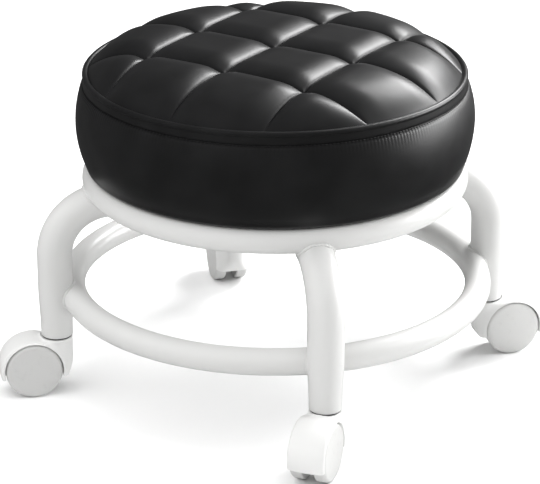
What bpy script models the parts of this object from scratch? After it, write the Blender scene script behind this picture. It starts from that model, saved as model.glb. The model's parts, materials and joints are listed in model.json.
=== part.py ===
"""A low rolling stool: a round quilted seat on a white tube frame with four swivel casters.

Run with blender --background --python part.py. Metres, +Z up, standing on the floor at z = 0.
The legs stand on the X and Y axes, and the front leg is the one at -Y.
"""

from math import cos, pi, radians, sin, sqrt

import bmesh
import bpy
from mathutils import Matrix, Vector

# Clearances. GAP parts surfaces that touch on the real stool.
GAP = 0.0003
RUNNING_FIT = 0.0004

# Casters: nominal 50 mm twin-wheel furniture casters, whose wheels measure 48 mm.
WHEEL_RADIUS = 0.024
WHEEL_WIDTH = 0.0108
WHEEL_EDGE = 0.0022
WHEEL_EDGE_DROP = 0.0005
WHEEL_INNER_EDGE = 0.0006
WHEEL_CROWN = 0.0005
CASTER_WIDTH = 0.0314
CASTER_TRAIL = 0.0214
AXLE_RADIUS = 0.0025
AXLE_LENGTH = 0.026
STEM_RADIUS = 0.0055
STEM_LENGTH = 0.026
STEM_CHAMFER = 0.001
STEM_SEAT_DROP = 0.0053
STEM_PIN_RADIUS = 0.003
STEM_PIN_LENGTH = 0.012
WEB_THICKNESS = 0.0086
HOOD_CLEARANCE = 0.0007
HOOD_WALL = 0.0028
HOOD_CROWN_HALF_WIDTH = 0.0078
HOOD_EDGE_WALL = 0.0013
HOOD_SKIRT_HEIGHT = 0.018
WEB_FLOOR_HEIGHT = 0.0165
# The way each caster trails, counterclockwise from +X, as the stool was left standing.
CASTER_HEADINGS = {"front": -122.4, "right": 3.0, "back": 91.0, "left": 178.0}

# Legs: 30 mm tube, bent once and drawn in a little at the foot.
LEG_PITCH_RADIUS = 0.1886
LEG_RADIUS = 0.0148
LEG_FOOT_RADIUS = 0.0134
LEG_WALL = 0.0015
LEG_BEND_RADIUS = 0.046
LEG_BEND_RISE = 0.0716
LEG_FOOT_STRAIGHT = 0.007
LEG_TAPER_RISE = 0.0441
LEG_END_WALL = 0.002
FOOT_HEIGHT = 0.0519
LEG_TAPER_START = FOOT_HEIGHT + LEG_TAPER_RISE
LEG_BEND_START = FOOT_HEIGHT + LEG_BEND_RISE
LEG_LEVEL_HEIGHT = LEG_BEND_START + LEG_BEND_RADIUS
LEG_AZIMUTHS = {"front": -90, "right": 0, "back": 90, "left": 180}

# Rings: 22 mm tube. The upper one rests on the legs' level ends.
# The lower one runs into the legs' inner sides.
RING_TUBE_RADIUS = 0.011
RING_WALL = 0.0015
UPPER_RING_RADIUS = 0.151
UPPER_RING_RISE = 0.0126
UPPER_RING_HEIGHT = LEG_LEVEL_HEIGHT + UPPER_RING_RISE
LEG_END_INSET = 0.0084
LOWER_RING_INSET = 0.0156
LOWER_RING_RADIUS = LEG_PITCH_RADIUS - LOWER_RING_INSET
LOWER_RING_RISE = 0.0347
LOWER_RING_HEIGHT = FOOT_HEIGHT + LOWER_RING_RISE
VENT_RADIUS = 0.0025
VENT_REACH = 0.0176

# Leg plugs
PLUG_LENGTH = 0.0225
PLUG_FLANGE = 0.0012
PLUG_FLANGE_INSET = 0.0006

# Seat. It rests on the upper ring.
SEAT_BOTTOM = UPPER_RING_HEIGHT + RING_TUBE_RADIUS + GAP
SEAT_SIDE_HEIGHT = 0.0791
SEAT_BULGE_RADIUS = 0.1666
SEAT_FOOT_RADIUS = 0.1572
SEAT_CORNER_RADIUS = 0.003
WELT_HEIGHT = SEAT_BOTTOM + SEAT_SIDE_HEIGHT
WELT_OUTER_RADIUS = 0.160
WELT_RADIUS = 0.0026
QUILT_RISE = 0.0275
QUILT_UNDERSIDE_RISE = 0.011
QUILT_DOME_POWER = 6
SKIN = 0.0012
HEM_INNER_RADIUS = 0.128
BOARD_RADIUS = 0.150
BOARD_THICKNESS = 0.012
DUST_COVER_RADIUS = 0.140
DUST_COVER_THICKNESS = 0.0008

# Seat fixings, M6, between the legs
FIXING_PITCH_RADIUS = 0.116
FIXING_AZIMUTHS = (45, 135, 225, 315)
SCREW_RADIUS = 0.003
SCREW_HOLE_RADIUS = 0.0035
SCREW_HEAD_RADIUS = 0.005
SCREW_HEAD_HEIGHT = 0.0035
SCREW_LENGTH = 0.019
WASHER_RADIUS = 0.007
WASHER_THICKNESS = 0.0015
TEE_NUT_FLANGE_RADIUS = 0.009
TEE_NUT_FLANGE = 0.0012
TEE_NUT_BARREL_RADIUS = 0.0048
TEE_NUT_LENGTH = 0.0095
TAB_INNER_RADIUS = 0.104
TAB_WIDTH = 0.030
TAB_CORNER = 0.006
TAB_THICKNESS = 0.003

# Facets
RING_STEPS = 40
RING_SIDES = 10
RING_BORE_SIDES = 6
VENT_SIDES = 8
LEG_SIDES = 12
BEND_STEPS = 6
SEAT_STEPS = 40
BAND_ROWS = 5
FOAM_ROWS = 3
WELT_SIDES = 6
# Where the quilted top's two faces have their rows of points, as shares of its rim radius.
QUILT_ROWS = (0, 0.55, 0.75, 0.87, 0.95, 1)
UNDERSIDE_ROWS = (0, 0.7, 0.9, 1)
WHEEL_STEPS = 24
SMALL_STEPS = 12
SHARP_ANGLE = radians(38)

UP = Vector((0, 0, 1))
ACROSS = Vector((0, 1, 0))


def clear_scene():
    for obj in list(bpy.data.objects):
        bpy.data.objects.remove(obj, do_unlink=True)


def material(name, color, roughness, metallic=0.0):
    found = bpy.data.materials.get(name)
    if found:
        return found
    made = bpy.data.materials.new(name)
    made.use_nodes = True
    shader = made.node_tree.nodes["Principled BSDF"]
    shader.inputs["Base Color"].default_value = (*color, 1.0)
    shader.inputs["Roughness"].default_value = roughness
    shader.inputs["Metallic"].default_value = metallic
    made.diffuse_color = (*color, 1.0)
    return made


def black_vinyl():
    return material("black_vinyl", (0.018, 0.018, 0.019), 0.36)


def white_paint():
    return material("white_paint", (0.86, 0.86, 0.85), 0.28)


def white_plastic():
    return material("white_plastic", (0.84, 0.84, 0.83), 0.36)


def wheel_plastic():
    return material("wheel_plastic", (0.78, 0.78, 0.77), 0.42)


def black_plastic():
    return material("black_plastic", (0.02, 0.02, 0.02), 0.5)


def plywood():
    return material("plywood", (0.55, 0.40, 0.25), 0.7)


def foam():
    return material("foam", (0.85, 0.80, 0.62), 0.9)


def dust_cloth():
    return material("dust_cloth", (0.03, 0.03, 0.03), 0.95)


def zinc_steel():
    return material("zinc_steel", (0.62, 0.63, 0.65), 0.32, 1.0)


def link(name, bm, finish, parent=None):
    """A new object from bm, smooth except at its sharp edges."""
    bmesh.ops.recalc_face_normals(bm, faces=bm.faces)
    mesh = bpy.data.meshes.new(name)
    bm.to_mesh(mesh)
    bm.free()
    mesh.materials.append(finish)
    mesh.shade_smooth()
    mesh.set_sharp_from_angle(angle=SHARP_ANGLE)
    obj = bpy.data.objects.new(name, mesh)
    obj.parent = parent
    bpy.context.scene.collection.objects.link(obj)
    return obj


def helper(obj):
    """Marks a cutter, which is no part of the stool."""
    obj.hide_render = True
    obj.display_type = "WIRE"
    return obj


def cut(obj, *cutters):
    for cutter in cutters:
        modifier = obj.modifiers.new(f"cut {cutter.name}", "BOOLEAN")
        modifier.operation = "DIFFERENCE"
        modifier.object = cutter
        modifier.solver = "EXACT"


def join(obj, *others):
    for other in others:
        modifier = obj.modifiers.new(f"join {other.name}", "BOOLEAN")
        modifier.operation = "UNION"
        modifier.object = other
        modifier.solver = "EXACT"


def turned(profile, steps, axis=UP):
    """A bmesh turned about an axis through the origin, from (radius, height) points.

    The profile starts and ends on the axis, or it closes on itself. The middle of a facet faces +X.
    """
    bm = bmesh.new()
    across = Matrix.Rotation(pi / steps, 3, axis) @ Vector((1, 0, 0))
    corners = [bm.verts.new(across * r + axis * z) for r, z in profile]
    pairs = list(zip(corners, corners[1:]))
    if profile[0][0] > 0:
        pairs.append((corners[-1], corners[0]))
    edges = [bm.edges.new(pair) for pair in pairs]
    bmesh.ops.spin(
        bm, geom=corners + edges, cent=(0, 0, 0), axis=axis, angle=2 * pi, steps=steps,
        use_merge=True, use_duplicate=False,
    )
    bmesh.ops.remove_doubles(bm, verts=bm.verts, dist=1e-6)
    return bm


def turned_about_axle(profile):
    """Turned about Y, with the middles of its facets, one of them straight below, at the stated radii."""
    flat = 1 / cos(pi / WHEEL_STEPS)
    return turned([(r * flat, y) for r, y in profile], WHEEL_STEPS, ACROSS)


def tube_along(centres, radii, sides):
    """A bmesh swept through centres that lie in the XZ plane, with flat ends."""
    bm = bmesh.new()
    rings = []
    for index, centre in enumerate(centres):
        before = centres[max(index - 1, 0)]
        after = centres[min(index + 1, len(centres) - 1)]
        along = (after - before).normalized()
        up = ACROSS.cross(along)
        turns = [2 * pi * (i + 0.5) / sides for i in range(sides)]
        spokes = [up * cos(t) + ACROSS * sin(t) for t in turns]
        rings.append([bm.verts.new(centre + radii[index] * spoke) for spoke in spokes])
    for low, high in zip(rings, rings[1:]):
        for i in range(sides):
            j = (i + 1) % sides
            bm.faces.new((low[i], low[j], high[j], high[i]))
    bm.faces.new(rings[0])
    bm.faces.new(rings[-1])
    return bm


def box(low, high):
    bm = bmesh.new()
    low, high = Vector(low), Vector(high)
    bmesh.ops.create_cube(bm, size=1.0)
    bmesh.ops.scale(bm, vec=high - low, verts=bm.verts)
    bmesh.ops.translate(bm, vec=(low + high) / 2, verts=bm.verts)
    return bm


def cylinder(radius, bottom, top, steps=SMALL_STEPS):
    return turned([(0, top), (radius, top), (radius, bottom), (0, bottom)], steps)


def ring_bar(radius, height, tube_radius, sides=RING_SIDES):
    """A bmesh of a round bar bent into a horizontal ring."""
    turns = [2 * pi * (i + 0.5) / sides for i in range(sides)]
    profile = [(radius + tube_radius * cos(t), height + tube_radius * sin(t)) for t in turns]
    return turned(profile, RING_STEPS)


def spin_about_z(obj, degrees):
    obj.rotation_euler.z = radians(degrees)
    return obj


# Frame


def vent_cutter(name, start, end):
    """Four short bars, one into each leg, for the holes that let gas out of a ring as it is welded."""
    bm = bmesh.new()
    along = UP.rotation_difference(end - start).to_matrix().to_4x4()
    place = Matrix.Translation((start + end) / 2) @ along
    for azimuth in LEG_AZIMUTHS.values():
        bmesh.ops.create_cone(
            bm, cap_ends=True, segments=VENT_SIDES, radius1=VENT_RADIUS, radius2=VENT_RADIUS,
            depth=(end - start).length, matrix=Matrix.Rotation(radians(azimuth), 4, "Z") @ place,
        )
    return helper(link(name, bm, white_paint()))


def make_ring(name, radius, height, vents):
    bar = link(name, ring_bar(radius, height, RING_TUBE_RADIUS), white_paint())
    bore_bm = ring_bar(radius, height, RING_TUBE_RADIUS - RING_WALL, RING_BORE_SIDES)
    bore = helper(link(f"{name}_bore", bore_bm, white_paint()))
    cut(bar, bore, vents)
    return helper(link(f"{name}_saddle", ring_bar(radius, height, RING_TUBE_RADIUS + GAP), white_paint()))


def leg_route(foot, end):
    """Centres from the foot's height up the leg and round its bend, as far as end from the stool's axis."""
    bend_x = LEG_PITCH_RADIUS - LEG_BEND_RADIUS
    heights = (foot, FOOT_HEIGHT + LEG_FOOT_STRAIGHT, LEG_TAPER_START)
    centres = [Vector((LEG_PITCH_RADIUS, 0, z)) for z in heights]
    turns = [pi / 2 * i / BEND_STEPS for i in range(BEND_STEPS + 1)]
    for turn in turns:
        across, up = LEG_BEND_RADIUS * cos(turn), LEG_BEND_RADIUS * sin(turn)
        centres.append(Vector((bend_x + across, 0, LEG_BEND_START + up)))
    if end < bend_x - GAP:
        centres.append(Vector((end, 0, LEG_LEVEL_HEIGHT)))
    return centres


def leg_radii(centres, wall):
    """The tube is narrow at its foot and full size from LEG_TAPER_START upward."""
    return [
        (LEG_FOOT_RADIUS if centre.z < LEG_TAPER_START - GAP else LEG_RADIUS) - wall
        for centre in centres
    ]


def leg_end():
    """How far from the stool's axis a leg's level end is."""
    return min(UPPER_RING_RADIUS - LEG_END_INSET, LEG_PITCH_RADIUS - LEG_BEND_RADIUS)


def make_legs(saddles):
    for side, azimuth in LEG_AZIMUTHS.items():
        route = leg_route(FOOT_HEIGHT, leg_end())
        leg = link(f"leg_{side}", tube_along(route, leg_radii(route, 0), LEG_SIDES), white_paint())
        bore_route = leg_route(FOOT_HEIGHT - GAP, leg_end())[:-1]
        bore_route.append(Vector((leg_end() + LEG_END_WALL, 0, LEG_LEVEL_HEIGHT)))
        bore_bm = tube_along(bore_route, leg_radii(bore_route, LEG_WALL), LEG_SIDES)
        bore = helper(link(f"leg_{side}_bore", bore_bm, white_paint()))
        for obj in (leg, bore):
            spin_about_z(obj, azimuth)
        cut(leg, bore, *saddles)


def make_tabs():
    """Flat tabs inside the upper ring, which take the seat screws."""
    top = SEAT_BOTTOM - GAP
    bottom = top - TAB_THICKNESS
    reach = sqrt(RING_TUBE_RADIUS**2 - (bottom - UPPER_RING_HEIGHT) ** 2)
    tab_end = UPPER_RING_RADIUS - reach - GAP
    rim = helper(link("tab_rim", outside_of(tab_end, bottom, top), white_paint()))
    for number, azimuth in enumerate(FIXING_AZIMUTHS, 1):
        bm = box((TAB_INNER_RADIUS, -TAB_WIDTH / 2, bottom), (UPPER_RING_RADIUS, TAB_WIDTH / 2, top))
        inner = [v for v in bm.verts if v.co.x < tab_end]
        corners = [e for e in bm.edges if set(e.verts) <= set(inner) and e.verts[0].co.z != e.verts[1].co.z]
        bmesh.ops.bevel(bm, geom=corners, offset=TAB_CORNER, segments=2, affect="EDGES")
        tab = spin_about_z(link(f"seat_tab_{number}", bm, white_paint()), azimuth)
        hole_bm = cylinder(SCREW_HOLE_RADIUS, bottom - GAP, top + GAP)
        bmesh.ops.translate(hole_bm, vec=(FIXING_PITCH_RADIUS, 0, 0), verts=hole_bm.verts)
        hole = helper(spin_about_z(link(f"seat_tab_{number}_hole", hole_bm, white_paint()), azimuth))
        cut(tab, rim, hole)


def outside_of(radius, bottom, top):
    """A flat ring that takes away everything outside a radius."""
    far = UPPER_RING_RADIUS + RING_TUBE_RADIUS
    low, high = bottom - TAB_THICKNESS, top + TAB_THICKNESS
    return turned([(radius, high), (far, high), (far, low), (radius, low)], SEAT_STEPS * 2)


def make_frame():
    upper_vents = vent_cutter(
        "upper_ring_vents",
        Vector((UPPER_RING_RADIUS, 0, UPPER_RING_HEIGHT - VENT_REACH)),
        Vector((UPPER_RING_RADIUS, 0, UPPER_RING_HEIGHT)),
    )
    lower_vents = vent_cutter(
        "lower_ring_vents",
        Vector((LOWER_RING_RADIUS, 0, LOWER_RING_HEIGHT)),
        Vector((LOWER_RING_RADIUS + VENT_REACH, 0, LOWER_RING_HEIGHT)),
    )
    upper = make_ring("upper_ring", UPPER_RING_RADIUS, UPPER_RING_HEIGHT, upper_vents)
    lower = make_ring("lower_ring", LOWER_RING_RADIUS, LOWER_RING_HEIGHT, lower_vents)
    make_legs((upper, lower))
    make_tabs()


# Seat


def seat_side(height):
    """The side band's outer radius: a bulge, widest midway between the seat's bottom and its welt."""
    middle = (SEAT_BOTTOM + WELT_HEIGHT) / 2
    rise = (height - middle) / (middle - SEAT_BOTTOM)
    return SEAT_BULGE_RADIUS - (SEAT_BULGE_RADIUS - SEAT_FOOT_RADIUS) * rise * rise


def dome(radius, rim_radius, rise):
    return WELT_HEIGHT + rise * (1 - (radius / rim_radius) ** QUILT_DOME_POWER)


def make_quilted_top():
    rim = WELT_OUTER_RADIUS - 2 * WELT_RADIUS - GAP
    upper = [(rim * row, dome(rim * row, rim, QUILT_RISE)) for row in QUILT_ROWS]
    lower_radii = [rim * row for row in reversed(UNDERSIDE_ROWS)]
    lower = [(r, dome(r, rim, QUILT_UNDERSIDE_RISE) - SKIN) for r in lower_radii]
    link("quilted_top", turned(upper + lower, SEAT_STEPS), black_vinyl())


def make_side_band():
    """One skin: up the bulging side, and round the bottom corner to a hem that is stapled under the board."""
    top = WELT_HEIGHT - WELT_RADIUS - GAP
    corner_top = SEAT_BOTTOM + SEAT_CORNER_RADIUS
    heights = [top - (top - corner_top) * i / BAND_ROWS for i in range(BAND_ROWS + 1)]
    outside = [(seat_side(z), z) for z in heights]
    hem_start = SEAT_FOOT_RADIUS - SEAT_CORNER_RADIUS
    corner = SEAT_CORNER_RADIUS * cos(pi / 4)
    outside += [(hem_start + corner, corner_top - corner)]
    outside += [(hem_start, SEAT_BOTTOM), (HEM_INNER_RADIUS, SEAT_BOTTOM)]
    inside = [(HEM_INNER_RADIUS, SEAT_BOTTOM + SKIN), (hem_start - SKIN / 2, SEAT_BOTTOM + SKIN)]
    inside += [(seat_side(z) - SKIN, z) for z in reversed(heights)]
    link("side_band", turned(outside + inside, SEAT_STEPS), black_vinyl())


def make_welt():
    centre = WELT_OUTER_RADIUS - WELT_RADIUS
    turns = [2 * pi * (i + 0.5) / WELT_SIDES for i in range(WELT_SIDES)]
    profile = [(centre + WELT_RADIUS * cos(t), WELT_HEIGHT + WELT_RADIUS * sin(t)) for t in turns]
    link("welt", turned(profile, SEAT_STEPS), black_vinyl())


def board_bottom():
    return SEAT_BOTTOM + SKIN + DUST_COVER_THICKNESS + 2 * GAP


def make_foam():
    """Foam over the board, with a skirt that wraps the board's edge."""
    board_top = board_bottom() + BOARD_THICKNESS
    rim = WELT_OUTER_RADIUS - 2 * WELT_RADIUS - GAP
    shoulder = WELT_HEIGHT - 2 * WELT_RADIUS
    top_rows = [rim * row for row in UNDERSIDE_ROWS[:-1]]
    profile = [(r, dome(r, rim, QUILT_UNDERSIDE_RISE) - SKIN - GAP) for r in top_rows]
    profile += [(rim, WELT_HEIGHT - WELT_RADIUS)]
    skirt = board_bottom()
    heights = [shoulder - (shoulder - skirt - SKIN) * i / FOAM_ROWS for i in range(FOAM_ROWS + 1)]
    profile += [(seat_side(z) - SKIN - GAP, z) for z in heights]
    profile += [(seat_side(skirt + SKIN) - 2 * SKIN, skirt), (BOARD_RADIUS + GAP, skirt)]
    profile += [(BOARD_RADIUS + GAP, board_top + GAP), (0, board_top + GAP)]
    link("seat_foam", turned(profile, SEAT_STEPS), foam())


def fixing_place(bm, azimuth):
    turn = Matrix.Rotation(radians(azimuth), 4, "Z")
    bmesh.ops.transform(bm, matrix=turn @ Matrix.Translation((FIXING_PITCH_RADIUS, 0, 0)), verts=bm.verts)
    return bm


def make_board():
    bottom = board_bottom()
    top = bottom + BOARD_THICKNESS
    board = link("seat_board", cylinder(BOARD_RADIUS, bottom, top, SEAT_STEPS), plywood())
    cloth_top = bottom - GAP
    cloth_bottom = cloth_top - DUST_COVER_THICKNESS
    cloth_bm = cylinder(DUST_COVER_RADIUS, cloth_bottom, cloth_top, SEAT_STEPS)
    cloth = link("dust_cover", cloth_bm, dust_cloth())
    recess = top - TEE_NUT_FLANGE - 2 * GAP
    hole = TEE_NUT_BARREL_RADIUS + GAP
    counterbore = TEE_NUT_FLANGE_RADIUS + GAP
    far_top, far_bottom = top + GAP, cloth_bottom - GAP
    profile = [(0, far_top), (counterbore, far_top), (counterbore, recess), (hole, recess)]
    profile += [(hole, far_bottom), (0, far_bottom)]
    for number, azimuth in enumerate(FIXING_AZIMUTHS, 1):
        bm = fixing_place(turned(profile, SMALL_STEPS), azimuth)
        cutter = helper(link(f"board_hole_{number}", bm, plywood()))
        cut(board, cutter)
        cut(cloth, cutter)


def make_fixings():
    """A tee-nut sunk in the board's top, and a screw with a washer from below the tab."""
    board_top = board_bottom() + BOARD_THICKNESS
    flange_top = board_top - GAP
    flange_bottom = flange_top - TEE_NUT_FLANGE
    barrel_bottom = flange_top - TEE_NUT_LENGTH
    nut = [(SCREW_HOLE_RADIUS, flange_top), (TEE_NUT_FLANGE_RADIUS, flange_top)]
    nut += [(TEE_NUT_FLANGE_RADIUS, flange_bottom), (TEE_NUT_BARREL_RADIUS, flange_bottom)]
    nut += [(TEE_NUT_BARREL_RADIUS, barrel_bottom), (SCREW_HOLE_RADIUS, barrel_bottom)]
    washer_top = SEAT_BOTTOM - GAP - TAB_THICKNESS - GAP
    washer_bottom = washer_top - WASHER_THICKNESS
    washer = [(SCREW_HOLE_RADIUS, washer_top), (WASHER_RADIUS, washer_top)]
    washer += [(WASHER_RADIUS, washer_bottom), (SCREW_HOLE_RADIUS, washer_bottom)]
    head_top = washer_bottom - GAP
    head_bottom = head_top - SCREW_HEAD_HEIGHT
    tip = head_top + SCREW_LENGTH
    screw = [(0, tip), (SCREW_RADIUS, tip), (SCREW_RADIUS, head_top), (SCREW_HEAD_RADIUS, head_top)]
    screw += [(SCREW_HEAD_RADIUS, head_bottom), (0, head_bottom)]
    for number, azimuth in enumerate(FIXING_AZIMUTHS, 1):
        for name, profile in (("tee_nut", nut), ("washer", washer), ("seat_screw", screw)):
            link(f"{name}_{number}", fixing_place(turned(profile, SMALL_STEPS), azimuth), zinc_steel())


def make_seat():
    make_quilted_top()
    make_welt()
    make_side_band()
    make_foam()
    make_board()
    make_fixings()


# Casters. Each is built about its swivel axis, trailing toward its own +X, with its wheels on Y.


def make_plug(side, place):
    """The plastic insert in the foot of a leg, whose thin flange shows as a dark line."""
    outside = LEG_FOOT_RADIUS - LEG_WALL - GAP
    bore = STEM_RADIUS + RUNNING_FIT
    flange = LEG_FOOT_RADIUS - PLUG_FLANGE_INSET
    profile = [(bore, PLUG_LENGTH), (outside, PLUG_LENGTH), (outside, -GAP), (flange, -GAP)]
    profile += [(flange, -PLUG_FLANGE), (bore, -PLUG_FLANGE)]
    plug = link(f"leg_plug_{side}", turned(profile, LEG_SIDES), black_plastic())
    plug.location = place


def wheel_centre_height():
    return WHEEL_RADIUS - FOOT_HEIGHT


def hood_lathe():
    """The web between the wheels and the crowned fender over them, turned about the axle."""
    half = CASTER_WIDTH / 2
    inner = WHEEL_RADIUS + HOOD_CLEARANCE
    web = WEB_THICKNESS / 2
    crown = [(inner + HOOD_EDGE_WALL, half), (inner + HOOD_WALL, HOOD_CROWN_HALF_WIDTH)]
    outer = crown + [(r, -y) for r, y in reversed(crown)]
    right = [(inner, -half), (inner, -web)]
    profile = [(0, web), (inner, web), (inner, half)] + outer + right + [(0, -web)]
    bm = turned_about_axle(profile)
    bmesh.ops.translate(bm, vec=(CASTER_TRAIL, 0, wheel_centre_height()), verts=bm.verts)
    return bm


def wheel_room(side_sign):
    """The room for one wheel inside the hood."""
    inner = WHEEL_RADIUS + HOOD_CLEARANCE
    near, far = side_sign * WEB_THICKNESS / 2, side_sign * CASTER_WIDTH
    bm = turned_about_axle([(0, near), (inner, near), (inner, far), (0, far)])
    bmesh.ops.translate(bm, vec=(CASTER_TRAIL, 0, wheel_centre_height()), verts=bm.verts)
    return bm


def make_hood(side, holder):
    """Web, fender and neck in one moulding, open below, with bores for the stem and the axle."""
    top = -PLUG_FLANGE - GAP
    skirt = HOOD_SKIRT_HEIGHT - FOOT_HEIGHT
    floor = WEB_FLOOR_HEIGHT - FOOT_HEIGHT
    finish = white_plastic()
    hood = link(f"caster_hood_{side}", cylinder(LEG_FOOT_RADIUS, skirt, top, LEG_SIDES), finish, holder)
    far = CASTER_TRAIL + 2 * WHEEL_RADIUS
    web = WEB_THICKNESS / 2
    lathe = helper(link(f"hood_lathe_{side}", hood_lathe(), finish, holder))
    join(hood, lathe)
    rooms = [helper(link(f"room_{n}_{side}", wheel_room(n), finish, holder)) for n in (1, -1)]
    below = [
        box((-far, -far, -far), (far, far, floor)),
        box((-far, web, -far), (far, far, skirt)),
        box((-far, -far, -far), (far, -web, skirt)),
    ]
    lows = [helper(link(f"below_{n}_{side}", bm, finish, holder)) for n, bm in enumerate(below)]
    seat = -STEM_SEAT_DROP - GAP
    pin_room = STEM_PIN_RADIUS + GAP
    bore_profile = [(0, far), (STEM_RADIUS + GAP, far), (STEM_RADIUS + GAP, seat), (pin_room, seat)]
    bore_profile += [(pin_room, seat - STEM_PIN_LENGTH), (0, seat - STEM_PIN_LENGTH)]
    bore = helper(link(f"stem_bore_{side}", turned(bore_profile, SMALL_STEPS), finish, holder))
    axle_bm = turned(
        [(0, far), (AXLE_RADIUS + GAP, far), (AXLE_RADIUS + GAP, -far), (0, -far)],
        SMALL_STEPS, ACROSS,
    )
    bmesh.ops.translate(axle_bm, vec=(CASTER_TRAIL, 0, wheel_centre_height()), verts=axle_bm.verts)
    axle_bore = helper(link(f"axle_bore_{side}", axle_bm, finish, holder))
    leg_room_bm = cylinder(LEG_FOOT_RADIUS + 2 * RUNNING_FIT, top, far, LEG_SIDES)
    leg_room = helper(link(f"leg_room_{side}", leg_room_bm, finish, holder))
    cut(hood, *rooms, *lows, bore, axle_bore, leg_room)


def make_stem(side, holder):
    """A stem that turns in the leg's plug, with a thinner pin that is pressed into the hood's web."""
    bottom = -STEM_SEAT_DROP
    top = bottom + STEM_LENGTH
    tip = bottom - STEM_PIN_LENGTH
    profile = [(0, top), (STEM_RADIUS - STEM_CHAMFER, top), (STEM_RADIUS, top - STEM_CHAMFER)]
    profile += [(STEM_RADIUS, bottom), (STEM_PIN_RADIUS, bottom), (STEM_PIN_RADIUS, tip), (0, tip)]
    link(f"caster_stem_{side}", turned(profile, SMALL_STEPS), zinc_steel(), holder)


def make_axle(side, holder):
    half = AXLE_LENGTH / 2
    bm = turned([(0, half), (AXLE_RADIUS, half), (AXLE_RADIUS, -half), (0, -half)], SMALL_STEPS, ACROSS)
    axle = link(f"caster_axle_{side}", bm, zinc_steel(), holder)
    axle.location = (CASTER_TRAIL, 0, wheel_centre_height())


def wheel_bmesh(side_sign):
    """A solid wheel with a rounded tread, a slightly domed outer face and a blind bore."""
    outer = CASTER_WIDTH / 2
    inner = outer - WHEEL_WIDTH
    bore = AXLE_RADIUS + RUNNING_FIT
    bore_end = AXLE_LENGTH / 2 + RUNNING_FIT
    profile = [
        (0, outer + WHEEL_CROWN),
        (WHEEL_RADIUS - WHEEL_EDGE, outer - WHEEL_EDGE_DROP),
        (WHEEL_RADIUS, outer - WHEEL_EDGE),
        (WHEEL_RADIUS, inner + WHEEL_INNER_EDGE),
        (WHEEL_RADIUS - WHEEL_INNER_EDGE, inner),
        (bore, inner),
        (bore, bore_end),
        (0, bore_end),
    ]
    return turned_about_axle([(r, side_sign * y) for r, y in profile])


def make_wheels(side, holder):
    for name, side_sign in (("a", 1), ("b", -1)):
        wheel = link(f"caster_wheel_{side}_{name}", wheel_bmesh(side_sign), wheel_plastic(), holder)
        wheel.location = (CASTER_TRAIL, 0, wheel_centre_height())


def make_casters():
    for side, azimuth in LEG_AZIMUTHS.items():
        turn = radians(azimuth)
        place = Vector((LEG_PITCH_RADIUS * cos(turn), LEG_PITCH_RADIUS * sin(turn), FOOT_HEIGHT))
        make_plug(side, place)
        holder = bpy.data.objects.new(f"caster_{side}", None)
        holder.location = place
        holder.rotation_euler.z = radians(CASTER_HEADINGS[side])
        bpy.context.scene.collection.objects.link(holder)
        make_hood(side, holder)
        make_stem(side, holder)
        make_axle(side, holder)
        make_wheels(side, holder)


def main():
    clear_scene()
    make_frame()
    make_seat()
    make_casters()


main()
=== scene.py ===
"""The looks of a low rolling stool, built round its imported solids.

A quilted vinyl seat stands on a white tube frame with four twin-wheel casters.

Metres, +Z up. The legs stand on the X and Y axes, and the front leg is the one at -Y.
"""

import json
from math import atan2, cos, pi, radians, sin, sqrt

import bmesh
import bpy
import numpy as np
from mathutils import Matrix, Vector


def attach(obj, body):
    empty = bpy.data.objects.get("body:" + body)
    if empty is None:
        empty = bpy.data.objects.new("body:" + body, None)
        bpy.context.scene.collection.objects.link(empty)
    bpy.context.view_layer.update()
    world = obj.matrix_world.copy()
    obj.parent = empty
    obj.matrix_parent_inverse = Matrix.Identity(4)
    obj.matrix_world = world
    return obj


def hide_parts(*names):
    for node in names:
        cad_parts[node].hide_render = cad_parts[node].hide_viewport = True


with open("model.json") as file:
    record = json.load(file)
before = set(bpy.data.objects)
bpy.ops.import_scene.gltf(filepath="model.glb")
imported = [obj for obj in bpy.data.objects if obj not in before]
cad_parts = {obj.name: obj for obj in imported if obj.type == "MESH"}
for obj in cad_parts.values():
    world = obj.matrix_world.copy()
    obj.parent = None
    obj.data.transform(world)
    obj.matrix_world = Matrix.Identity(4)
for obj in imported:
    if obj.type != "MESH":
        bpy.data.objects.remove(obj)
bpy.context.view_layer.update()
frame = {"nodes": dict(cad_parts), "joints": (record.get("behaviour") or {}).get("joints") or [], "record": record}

SIDES = ("front", "right", "back", "left")
LEG_AZIMUTHS = (-90, 0, 90, 180)
MERGE = 1e-6

# Quilted top
QUILT_TURN = 45
PATCH_COUNT = 53
SEAM_CROWDING = 0.86
SHOULDER_POWER = 2
DOME_POWER = 7
RIM_POWER = 12
CREASE_DEPTH = 0.0026
CREASE_WIDTH = 0.0010
DIMPLE_REACH = 0.0085
UNDERSIDE_RISE = 0.011
UNDERSIDE_POWER = 6
SKIN = 0.0012

# Side band. The strip under the welt ends at the stitches' groove, and the bulge starts below it.
BAND_CORNER = 0.004
BAND_THICKNESS = 0.004
STRIP_TOP_SHARE = 0.4
STRIP_END = 0.0016
STRIP_STEP = 0.0020
STRIP_LEAN = 0.09
STRIP_BLEND = 0.0006
GROOVE_HALF = 0.0013
GROOVE_DEPTH = 0.0011
GROOVE_WIDTH = 0.0011
BULGE_START = 0.0018
BULGE_CROWDING = 1.35
PUCKER = 0.00035
PUCKER_FADE = 0.004
STRIP_PUCKER = 0.00012
STRIP_PUCKER_FADE = 0.0012
SLACK = 0.00035

# Welt and stitches
WELT_PINCH = 0.015
STITCH_SHARE = 0.40
THREAD_RADIUS = 0.00034
THREAD_SET_IN = 0.0009
THREAD_ARCH = 0.00022
THREAD_SLANT = 0.00012

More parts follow.
